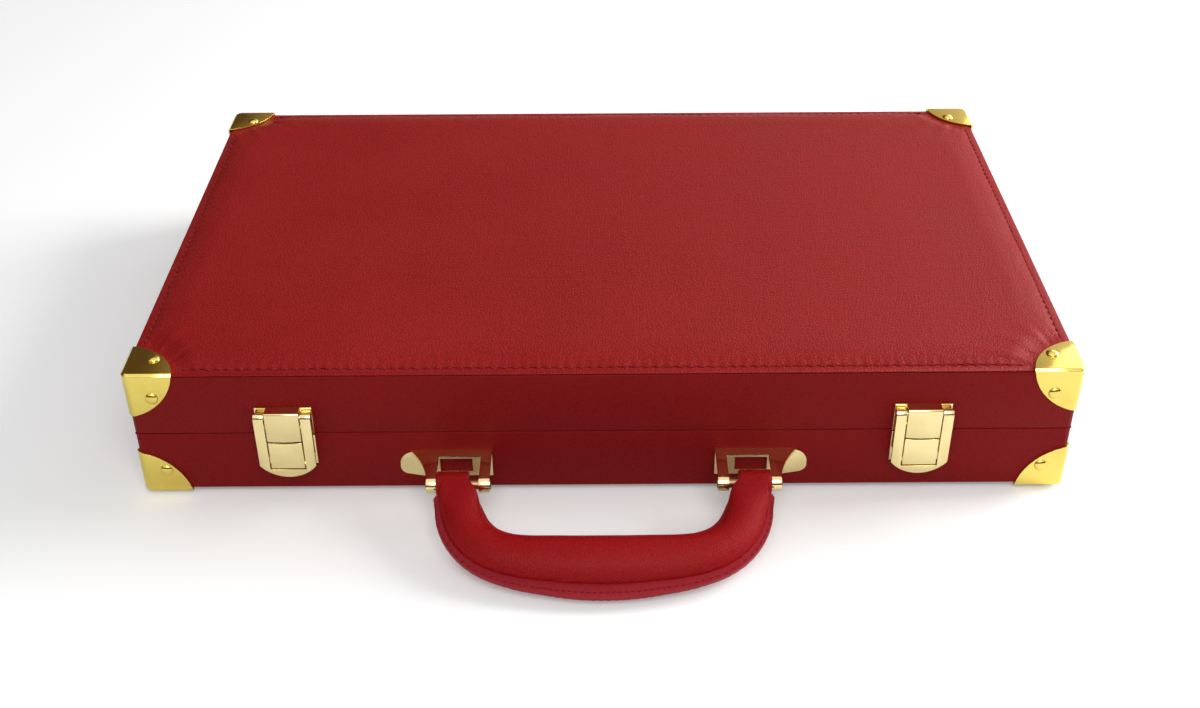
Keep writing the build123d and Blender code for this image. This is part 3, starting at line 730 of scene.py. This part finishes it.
screw_count = 8
screw_pitch = 44 * mm
screw_line = 113.2 * mm
nothing_selected()
bpy.ops.mesh.primitive_cylinder_add(vertices=24, radius=2.1 * mm, depth=0.3 * mm, location=(0, 0, 0.02 * mm))
screw = bpy.context.object
apply_place()
add_modifier(screw, "BEVEL", width=0.1 * mm, segments=2, limit_method="ANGLE", angle_limit=math.radians(40))
slot_cutter = block("slot_cutter", (-3 * mm, -0.25 * mm, -0.02 * mm), (3 * mm, 0.25 * mm, 1 * mm))
add_modifier(screw, "BOOLEAN", object=slot_cutter, operation="DIFFERENCE", solver="EXACT")
bpy.data.objects.remove(slot_cutter)
for half, side in (("body", -1), ("lid", 1)):
    moves = []
    for index in range(screw_count):
        x = (index - (screw_count - 1) / 2) * screw_pitch
        flat = Matrix.Rotation(0 if side < 0 else math.pi, 4, "X") @ Matrix.Rotation(0.7 * index + 0.4, 4, "Z")
        moves.append(Matrix.Translation((x, screw_line, seam + side * 0.22 * mm)) @ flat)
    merged(f"{half}_hinge_screws", copies_at(screw, moves), brass, half)
bpy.data.objects.remove(screw)


# Latches.
# A keeper on the lid carries a shield-shaped hasp on a pin; the hasp hooks under a catch on the body.
# All three are folded brass sheet, riveted to the front wall.

pale_brass = plated("pale_brass", (0.90, 0.76, 0.38), (0.80, 0.62, 0.27), 0.12)
for node, name in (("latch_keepers", "keepers"), ("latch_catches", "catches"),
                   ("latch_hasp_left", "left_hasp"), ("latch_hasp_right", "right_hasp")):
    dressed(node, name, 0.22 * mm, pale_brass, segments=3, corner=40.0)
dressed("latch_pins", "hasp_pins", 0.1 * mm, steel)

latch_place = 127.5 * mm
rivet_spread = 9.1 * mm
rivet_face = -119.0 * mm
rivet = dome_head(1.3 * mm, 0.55 * mm)
to_front = Matrix.Rotation(math.pi / 2, 4, "X")
for name, level, body in (("keeper_rivets", 5.5 * mm, "lid"), ("catch_rivets", -6.5 * mm, "body")):
    moves = []
    for x in (-latch_place, latch_place):
        for step in (-rivet_spread, rivet_spread):
            moves.append(Matrix.Translation((x + step, rivet_face, seam + level)) @ to_front)
    merged(name, copies_at(rivet, moves), pale_brass, body)
bpy.data.objects.remove(rivet)


# Handle brackets.
# Each is stamped from one brass sheet: a plate held to the wall from inside and a shelf with two arms.
# The arms curl round the pin that carries the handle's tab.

dressed("handle_brackets", "brackets", 0.22 * mm, pale_brass, segments=3, corner=40.0)
# Painted reflection: the bracket pins get a dark brown metal colour that stands in for the dark red leather they
# reflect.
pin_metal_painted_reflection = plated("bracket_pin_painted_reflection", (0.34, 0.17, 0.085), (0.22, 0.10, 0.05), 0.32)
dressed("handle_pins", "bracket_pins", 0.2 * mm, pin_metal_painted_reflection)


# Handle.
# A stuffed leatherette grip, sewn along a flat welt on its outside, with a steel strap inside.
# Its ends are looped round the strap's eyes, which turn on the bracket pins.

handle_leather = leatherette(
    "handle_leatherette", (0.310, 0.0040, 0.0055), (0.370, 0.0090, 0.0110), (0.150, 0.0020, 0.0030),
    1000.0, 0.45, 0.40, 0.00008, 0.12,
)
welt_leather = leatherette(
    "welt_leatherette", (0.318, 0.0100, 0.0190), (0.380, 0.0190, 0.0330), (0.190, 0.0040, 0.0090),
    1300.0, 0.40, 0.42, 0.00005, 0.20,
)

grip_knots = (
    (59.9, -1.0), (56.7, 10.6), (54.6, 18.6), (50.2, 25.8), (43.8, 30.9), (35.5, 33.8), (18.0, 35.7), (0.0, 36.3),
)
pin_spread = 59.9 * mm
pin_place = (0.0, -136.0 * mm, 18.58 * mm)
tab_half_width = 6.2 * mm
rest_tilt = math.radians(15.59618)


def grip_line():
    """Places along the middle of the handle, from the left tab to the right one."""
    left = [(-x * mm, -y * mm) for x, y in grip_knots]
    right = [(x * mm, -y * mm) for x, y in grip_knots[-2::-1]]
    return left + right


def smooth_line(points, count):
    """Even places and headings on a smooth curve through the given plan."""
    curve = bpy.data.curves.new("line", "CURVE")
    curve.dimensions = "3D"
    curve.resolution_u = 24
    spline = curve.splines.new("BEZIER")
    spline.bezier_points.add(len(points) - 1)
    for point, (x, y) in zip(spline.bezier_points, points):
        point.co = (x, y, 0)
        point.handle_left_type = "AUTO"
        point.handle_right_type = "AUTO"
    carrier = linked("line", curve)
    mesh = bpy.data.meshes.new_from_object(carrier)
    path = [v.co.copy() for v in mesh.vertices]
    bpy.data.objects.remove(carrier)
    lengths = [0.0]
    for a, b in zip(path, path[1:]):
        lengths.append(lengths[-1] + (b - a).length)
    places = []
    for index in range(count + 1):
        goal = lengths[-1] * index / count
        at = next(i for i in range(1, len(path)) if lengths[i] >= goal - 1e-12)
        share = (goal - lengths[at - 1]) / max(1e-9, lengths[at] - lengths[at - 1])
        spot = path[at - 1].lerp(path[at], share)
        heading = (path[at] - path[at - 1]).normalized()
        places.append((spot, heading))
    return places


def leg_fill(share):
    """How far a leg is filled out: 0 at its tab and 1 where it clears the bracket."""
    near = min(1.0, max(0.0, (min(share, 1 - share) - 0.018) / 0.020))
    return near * near * (3 - 2 * near)


def grip_fill(share):
    """How far the grip is filled out: 0 in the legs and 1 in the middle."""
    return math.sin(math.pi * share) ** 3


line = smooth_line(grip_line(), 72)
steps = len(line) - 1
line_length = sum((b[0] - a[0]).length for a, b in zip(line, line[1:]))
welt_start, welt_end = 0.023, 0.977


def along_line(share):
    """The place, the heading and the outward direction at a share of the handle's middle line."""
    at = share * steps
    first = min(int(at), steps - 1)
    spot = line[first][0].lerp(line[first + 1][0], at - first)
    heading = line[first][1].lerp(line[first + 1][1], at - first).normalized()
    return spot, heading, Vector((heading.y, -heading.x, 0))


def half_width_at(share):
    """Half the width of the stuffed grip, from the tabs to the middle."""
    return tab_half_width + (2.7 * leg_fill(share) + 2.8 * grip_fill(share)) * mm


def welt_at(share):
    """How far the welt stands out from the stuffed grip."""
    from_bracket = min(1.0, max(0.0, min(share, 1 - share) - welt_start) / 0.08)
    return (0.5 + 1.0 * from_bracket + 3.7 * grip_fill(share)) * mm


def flat_curve(name, places, depth, section=None, taper=None):
    """A curve through the given places, given a body by its bevel depth or by a section curve."""
    curve = bpy.data.curves.new(name, "CURVE")
    curve.dimensions = "3D"
    curve.twist_mode = "Z_UP"
    spline = curve.splines.new("POLY")
    spline.points.add(len(places) - 1)
    for point, place in zip(spline.points, places):
        point.co = (*place, 1)
    curve.use_fill_caps = True
    if section:
        curve.bevel_mode = "OBJECT"
        curve.bevel_object = section
    else:
        curve.bevel_depth = depth
        curve.bevel_resolution = 3
    if taper:
        curve.taper_object = taper
    work_on(linked(name, curve))
    bpy.ops.object.convert(target="MESH")
    return bpy.context.object


def hang(piece):
    """Turn a piece drawn flat down to the handle's rest and carry it to the pins."""
    piece.data.transform(Matrix.Translation(pin_place) @ Matrix.Rotation(rest_tilt, 4, "X"))


nothing_selected()
bpy.ops.curve.primitive_bezier_circle_add(radius=1.0)
oval = bpy.context.object
oval.scale = (5.75 * mm, 4.4 * mm, 1)
oval.data.resolution_u = 6
apply_place()
swell = bpy.data.curves.new("swell", "CURVE")
swell.dimensions = "2D"
spline = swell.splines.new("POLY")
spline.points.add(40)
for index, point in enumerate(spline.points):
    share = index / 40
    point.co = (share, half_width_at(share) / tab_half_width, 0, 1)
swell_line = linked("swell", swell)
grip = flat_curve("handle_grip", [tuple(spot) for spot, heading in line], 0, oval, swell_line)
bpy.data.objects.remove(oval)
bpy.data.objects.remove(swell_line)
edit_all()
bpy.ops.mesh.remove_doubles(threshold=0.01 * mm)
bpy.ops.mesh.normals_make_consistent(inside=False)
bpy.ops.object.mode_set(mode="OBJECT")
add_modifier(grip, "REMESH", mode="VOXEL", voxel_size=2.2 * mm)


def nearest_on_line(x, y):
    """Share along the grip's middle line and the signed distance outward from it."""
    best = min(range(len(line)), key=lambda i: (line[i][0].x - x) ** 2 + (line[i][0].y - y) ** 2)
    spot, heading = line[best]
    outward = Vector((heading.y, -heading.x))
    return best / steps, (Vector((x, y)) - spot.xy).dot(outward)


def sewn_grip(vertex):
    """Whether a point of the grip is held by the welt or by a tab."""
    share, across = nearest_on_line(vertex.co.x, vertex.co.y)
    return across > 0.86 * half_width_at(share) or share < 0.03 or share > 0.97


flat_tab = 17.0 * mm
cloth_swell(grip, sewn_grip, limit=0.55 * mm, frames=14, mass=0.2, tension=15, bending=0.8, pressure=5.0)
add_modifier(grip, "SUBSURF", levels=1, render_levels=1)
for vertex in grip.data.vertices:
    share, across = nearest_on_line(vertex.co.x, vertex.co.y)
    half_width = half_width_at(share)
    pull = max(0.0, across / half_width)
    wrinkle = math.sin(share * 410.0) * 0.6 + math.sin(share * 151.0 + 1.0) * 0.4
    vertex.co.z *= 1.0 - 0.10 * pull ** 4 + 0.025 * wrinkle * pull ** 2
    bend = max(0.0, 1 - abs(share - 0.20) / 0.07) + max(0.0, 1 - abs(share - 0.80) / 0.07)
    inner = max(0.0, -across / half_width)
    vertex.co.z *= 1.0 + 0.05 * bend * inner * math.sin(share * 520.0)
    from_tab = min(share, 1 - share) * line_length
    if from_tab < flat_tab:
        square = 2.2 + 9.0 * (1 - from_tab / flat_tab) ** 2
        side = min(1.0, abs(across) / (half_width + 0.3 * mm))
        level = (5.12 * mm + 0.75 * mm * from_tab / flat_tab) * (1 - side ** square) ** (1 / square)
        keep = max(0.0, from_tab / flat_tab) ** 2
        if abs(vertex.co.z) > 1.0 * mm:
            vertex.co.z = math.copysign(level * (1 - keep) + abs(vertex.co.z) * keep, vertex.co.z)
work_on(grip)
bpy.ops.object.shade_smooth()
grip.data.materials.clear()
grip.data.materials.append(handle_leather)
hang(grip)
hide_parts("handle_cover", "handle_strap")
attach(grip, "handle")

nothing_selected()
bpy.ops.mesh.primitive_grid_add(x_subdivisions=110, y_subdivisions=5, size=2.0)
welt = bpy.context.object
welt.name = "handle_welt"
for vertex in welt.data.vertices:
    share = welt_start + (vertex.co.x + 1) / 2 * (welt_end - welt_start)
    out = (vertex.co.y + 1) / 2
    spot, heading, outward = along_line(share)
    run_in = min(1.0, (min(share, 1 - share) - welt_start) / 0.018)
    reach = welt_at(share)
    inner_edge = half_width_at(share) - 1.8 * mm - (1 - run_in) ** 2 * (reach + 1.6 * mm)
    place = spot + outward * (inner_edge + out * (reach + 1.8 * mm - 0.2 * mm))
    place.z = 0.16 * mm * math.sin(share * 330.0) * out
    vertex.co = place
add_modifier(welt, "SOLIDIFY", thickness=2.0 * mm, offset=0.0)
add_modifier(welt, "BEVEL", width=0.75 * mm, segments=3, limit_method="ANGLE", angle_limit=math.radians(50))
bpy.ops.object.shade_smooth()
welt.data.materials.append(welt_leather)
hang(welt)
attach(welt, "handle")

spots = []
stitch_count = 64
for index in range(stitch_count):
    share = welt_start + 0.030 + (welt_end - welt_start - 0.060) * (index + 0.5) / stitch_count
    spot, heading, outward = along_line(share)
    place = spot + outward * (half_width_at(share) + welt_at(share) * 0.50)
    for face in (-1, 1):
        spots.append((place + Vector((0, 0, face * 0.95 * mm)), heading, (0, 0, face)))
tilt = Matrix.Rotation(rest_tilt, 3, "X")
spots = [(Vector(pin_place) + tilt @ place, tilt @ heading, tilt @ Vector(up)) for place, heading, up in spots]
sewn_thread("handle_stitching", spots, 2.1 * mm, 0.34 * mm, "handle")

for name, first, last in (("left_leg_seam", 5, 22), ("right_leg_seam", steps - 22, steps - 5)):
    places = []
    for index in range(first, last + 1):
        share = index / steps
        spot, heading, outward = along_line(share)
        from_end = min(index - first, last - index, 4) / 4
        places.append(tuple(spot - outward * half_width_at(share) * (0.95 - 0.16 * (1 - from_end) ** 2)))
    cord = flat_curve(name, places, 0.6 * mm)
    bpy.ops.object.shade_smooth()
    cord.data.materials.append(welt_leather)
    hang(cord)
    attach(cord, "handle")


def rod_across(vertices, radius, length, side):
    """A cylinder lying along a bracket pin, before the handle is turned down."""
    nothing_selected()
    bpy.ops.mesh.primitive_cylinder_add(vertices=vertices, radius=radius, depth=length,
                                        location=(side * pin_spread, 0, 0), rotation=(0, math.pi / 2, 0))
    rod = bpy.context.object
    apply_place()
    return rod


for name, side in (("left_tab_loop", -1), ("right_tab_loop", 1)):
    loop = rod_across(48, 5.25 * mm, 12.9 * mm, side)
    loop.name = name
    bore = rod_across(32, 2.16 * mm, 20 * mm, side)
    add_modifier(loop, "BOOLEAN", object=bore, operation="DIFFERENCE", solver="EXACT")
    bpy.data.objects.remove(bore)
    add_modifier(loop, "BEVEL", width=0.7 * mm, segments=3, limit_method="ANGLE", angle_limit=math.radians(50))
    bpy.ops.object.shade_smooth_by_angle(angle=math.radians(35))
    loop.data.materials.append(handle_leather)
    hang(loop)
    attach(loop, "handle")


# Playing field.
# Each half has a board covered with dark felt, with twelve leatherette points laid on it.
# A padded bar and two short walls in the front make the tray for checkers, dice and cube.

def napped(name, colour, light, grain):
    """Felt or flock in one colour, with fibres and softly brushed patches."""
    material, tree, shader = surface(name)
    place = object_place(tree)
    fibres = noise(tree, place, grain, 6.0).outputs["Fac"]
    brushed = noise(tree, place, 22.0, 3.0).outputs["Fac"]
    mixed = add_node(tree, "ShaderNodeMath", {0: fibres, 1: 0.6, 2: brushed}, operation="MULTIPLY_ADD")
    set_sockets(shader, {
        "Base Color": blend(tree, mixed.outputs[0], (*colour, 1), (*light, 1)),
        "Normal": relief_of(tree, fibres, 0.0001), "Roughness": 0.95, "Specular IOR Level": 0.15, "Sheen Weight": 0.3,
    })
    return material


field_felt = napped("field_felt", (0.016, 0.013, 0.014), (0.040, 0.033, 0.034), 2400.0)
light_point = leatherette(
    "ivory_point_leatherette", (0.62, 0.52, 0.36), (0.70, 0.61, 0.45), (0.40, 0.31, 0.19),
    1500.0, 0.3, 0.5, 0.00004, 0.3,
)
dark_point = leatherette(
    "red_point_leatherette", (0.26, 0.012, 0.013), (0.33, 0.024, 0.024), (0.12, 0.005, 0.006),
    1500.0, 0.3, 0.5, 0.00004, 0.3,
)
divider_leather = leatherette(
    "divider_leatherette", (0.16, 0.008, 0.010), (0.21, 0.016, 0.018), (0.07, 0.004, 0.005),
    1500.0, 0.3, 0.5, 0.00005, 0.3,
)
for half in ("body", "lid"):
    dressed(f"{half}_field_board", f"{half}_playing_field", 0.2 * mm, field_felt)
    dressed(f"{half}_points_light", f"{half}_ivory_points", 0.1 * mm, light_point)
    dressed(f"{half}_points_dark", f"{half}_red_points", 0.1 * mm, dark_point)
    dressed(f"{half}_tray_divider", f"{half}_bar", 0.8 * mm, divider_leather, segments=3)
    dressed(f"{half}_tray_partitions", f"{half}_tray_walls", 0.5 * mm, divider_leather, segments=3)


# Checkers.
# Fifteen ivory and fifteen red moulded discs with a turned ring on each face, stood on edge in the tray.

def moulded(name, colour, swirl, roughness):
    """Cast plastic with a faint marbled swirl."""
    material, tree, shader = surface(name)
    marble = noise(tree, object_place(tree), 55.0, 4.0, 1.8).outputs["Fac"]
    band = add_node(tree, "ShaderNodeMapRange", {"Value": marble, "From Min": 0.42, "From Max": 0.62})
    rough = add_node(tree, "ShaderNodeMapRange", {"Value": marble, "To Min": roughness, "To Max": roughness + 0.12})
    set_sockets(shader, {
        "Base Color": blend(tree, band.outputs[0], (*colour, 1), (*swirl, 1)), "Roughness": rough.outputs[0],
        "Subsurface Weight": 0.08, "Subsurface Scale": 0.002,
    })
    return material


ivory_plastic = moulded("ivory_plastic", (0.66, 0.56, 0.39), (0.74, 0.66, 0.50), 0.22)
red_plastic = moulded("red_plastic", (0.23, 0.010, 0.012), (0.33, 0.022, 0.024), 0.22)
checker_radius = 14.3 * mm
checker_pitch = 8.1 * mm
first_checker = 58.4 * mm
tray_line = -93.2 * mm
nothing_selected()
bpy.ops.mesh.primitive_cylinder_add(vertices=40, radius=checker_radius, depth=7.8 * mm, rotation=(0, math.pi / 2, 0))
checker = bpy.context.object
apply_place()
pick_faces(checker, lambda face: abs(face.normal.x) > 0.9)
for thickness, depth in ((3.0, 0.0), (0.5, -0.7), (0.9, 0.0), (0.5, 0.7), (3.6, 0.0), (0.4, -0.5)):
    bpy.ops.mesh.inset(thickness=thickness * mm, depth=depth * mm, use_individual=True)
bpy.ops.object.mode_set(mode="OBJECT")
add_modifier(checker, "BEVEL", width=0.5 * mm, segments=2, limit_method="ANGLE", angle_limit=math.radians(50))
bpy.ops.object.shade_smooth_by_angle(angle=math.radians(40))
for name, side, paint in (("checkers_light", -1, ivory_plastic), ("checkers_dark", 1, red_plastic)):
    moves = []
    for index in range(15):
        x = side * (first_checker + checker_pitch * (index + 0.5))
        moves.append(Matrix.Translation((x, tray_line, 23.55 * mm)) @ Matrix.Rotation(0.37 * index, 4, "X"))
    stack = merged(f"{name}_turned", copies_at(checker, moves), paint, "body")
    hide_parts(name)
bpy.data.objects.remove(checker)


# Dice and doubling cube.
# Four ivory dice with drilled and inked spots, and one larger cube with a number cut in each face.

ink, tree, shader = surface("black_ink")
worn = noise(tree, object_place(tree), 900.0).outputs["Fac"]
set_sockets(shader, {
    "Base Color": blend(tree, worn, (0.012, 0.011, 0.010, 1), (0.035, 0.032, 0.030, 1)), "Roughness": 0.5,
})

pip_plans = {
    1: ((0, 0),),
    2: ((-1, -1), (1, 1)),
    3: ((-1, -1), (0, 0), (1, 1)),
    4: ((-1, -1), (-1, 1), (1, -1), (1, 1)),
    5: ((-1, -1), (-1, 1), (1, -1), (1, 1), (0, 0)),
    6: ((-1, -1), (-1, 0), (-1, 1), (1, -1), (1, 0), (1, 1)),
}
faces = (
    (1, Matrix.Identity(4)),
    (6, Matrix.Rotation(math.pi, 4, "X")),
    (2, Matrix.Rotation(math.pi / 2, 4, "X")),
    (5, Matrix.Rotation(-math.pi / 2, 4, "X")),
    (3, Matrix.Rotation(math.pi / 2, 4, "Y")),
    (4, Matrix.Rotation(-math.pi / 2, 4, "Y")),
)


def rounded_cube(name, edge, radius):
    """A cube with well rounded edges, its middle at the origin."""
    nothing_selected()
    bpy.ops.mesh.primitive_cube_add(size=edge)
    cube = bpy.context.object
    cube.name = name
    add_modifier(cube, "BEVEL", width=radius, segments=3)
    bpy.ops.object.shade_smooth_by_angle(angle=math.radians(40))
    return cube


die_edge = 12.9 * mm
pip_step = 3.3 * mm
die = rounded_cube("die", die_edge, 1.3 * mm)
nothing_selected()
bpy.ops.mesh.primitive_cylinder_add(vertices=12, radius=1.25 * mm, depth=0.06 * mm)
spot = bpy.context.object
moves = []
for number, turn in faces:
    for u, v in pip_plans[number]:
        moves.append(turn @ Matrix.Translation((u * pip_step, v * pip_step, die_edge / 2)))
pips = joined(copies_at(spot, moves))
bpy.data.objects.remove(spot)
quarter = math.pi / 2
places = (
    (-42.6, -101.2, Euler((0, 0, 0.0))), (-42.6, -85.2, Euler((quarter, 0, 0))),
    (-22.6, -101.2, Euler((0, quarter, quarter))), (-22.6, -85.2, Euler((-quarter, 0, quarter))),
)
moves = [Matrix.Translation((x * mm, y * mm, 15.55 * mm)) @ turn.to_matrix().to_4x4() for x, y, turn in places]
dice = merged("dice_rounded", copies_at(die, moves), ivory_plastic, "body")
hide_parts("dice")
merged("dice_spots", copies_at(pips, moves), ink, "body")
bpy.data.objects.remove(die)
bpy.data.objects.remove(pips)

cube_place = Matrix.Translation((39.1 * mm, tray_line, 19.05 * mm))
cube = rounded_cube("doubling_cube_rounded", 19.9 * mm, 1.6 * mm)
cube.data.transform(cube_place)
cube.data.materials.append(ivory_plastic)
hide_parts("doubling_cube")
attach(cube, "body")
numbers = []
for (index, turn), text in zip(faces, ("64", "2", "4", "8", "16", "32")):
    nothing_selected()
    bpy.ops.object.text_add()
    label = bpy.context.object.data
    label.body = text
    label.size = 11 * mm if len(text) > 1 else 13 * mm
    label.align_x = "CENTER"
    label.align_y = "CENTER"
    label.extrude = 0.04 * mm
    bpy.ops.object.convert(target="MESH")
    number = bpy.context.object
    number.data.transform(cube_place @ turn @ Matrix.Translation((0, 0, 9.96 * mm)))
    numbers.append(number)
merged("cube_numbers", numbers, ink, "body")


# Dice cups.
# Two round leatherette cups lie on the field, each with a raised band near mouth and foot.

cup_leather = leatherette(
    "cup_leatherette", (0.20, 0.010, 0.012), (0.26, 0.020, 0.022), (0.09, 0.005, 0.006),
    1300.0, 0.4, 0.45, 0.00005, 0.3,
)
dressed("dice_cups", "cups", 0.8 * mm, cup_leather, segments=3, corner=40.0)
cup_bands = []
for y in (-11.5 * mm, 48.5 * mm):
    for x in (107.0 * mm, 168.0 * mm):
        nothing_selected()
        bpy.ops.mesh.primitive_torus_add(
            major_segments=64, minor_segments=10, major_radius=18.45 * mm, minor_radius=0.5 * mm,
            location=(x, y, 28.45 * mm), rotation=(0, math.pi / 2, 0))
        band = bpy.context.object
        apply_place()
        bpy.ops.object.shade_smooth()
        cup_bands.append(band)
merged("cup_bands", cup_bands, welt_leather, "body")
